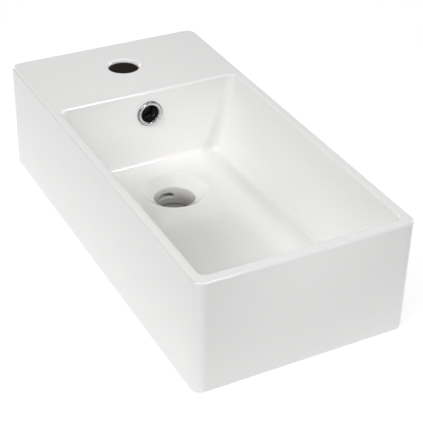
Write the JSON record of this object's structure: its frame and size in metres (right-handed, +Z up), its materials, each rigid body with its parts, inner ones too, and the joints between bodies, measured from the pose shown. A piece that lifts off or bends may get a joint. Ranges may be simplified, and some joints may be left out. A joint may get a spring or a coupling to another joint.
{
  "type": "washbasin",
  "caption": "Small rectangular washbasin in white glazed china: flat tap ledge at one end, deep bowl with a dished waste hole, chrome ring in the overflow.",
  "frame": {"origin": "middle of the base, on the surface that the basin stands on", "axes": "+X across the width, +Y along the length towards the tap ledge, +Z up"},
  "size_m": [0.235, 0.48, 0.127],
  "materials": {
    "glazed_china": "white glaze, high gloss, with an unglazed base edge",
    "chrome": "bright chrome plate"
  },
  "bodies": {
    "root": {"basin_body": "glazed_china", "overflow_ring": "chrome"}
  },
  "joints": []
}
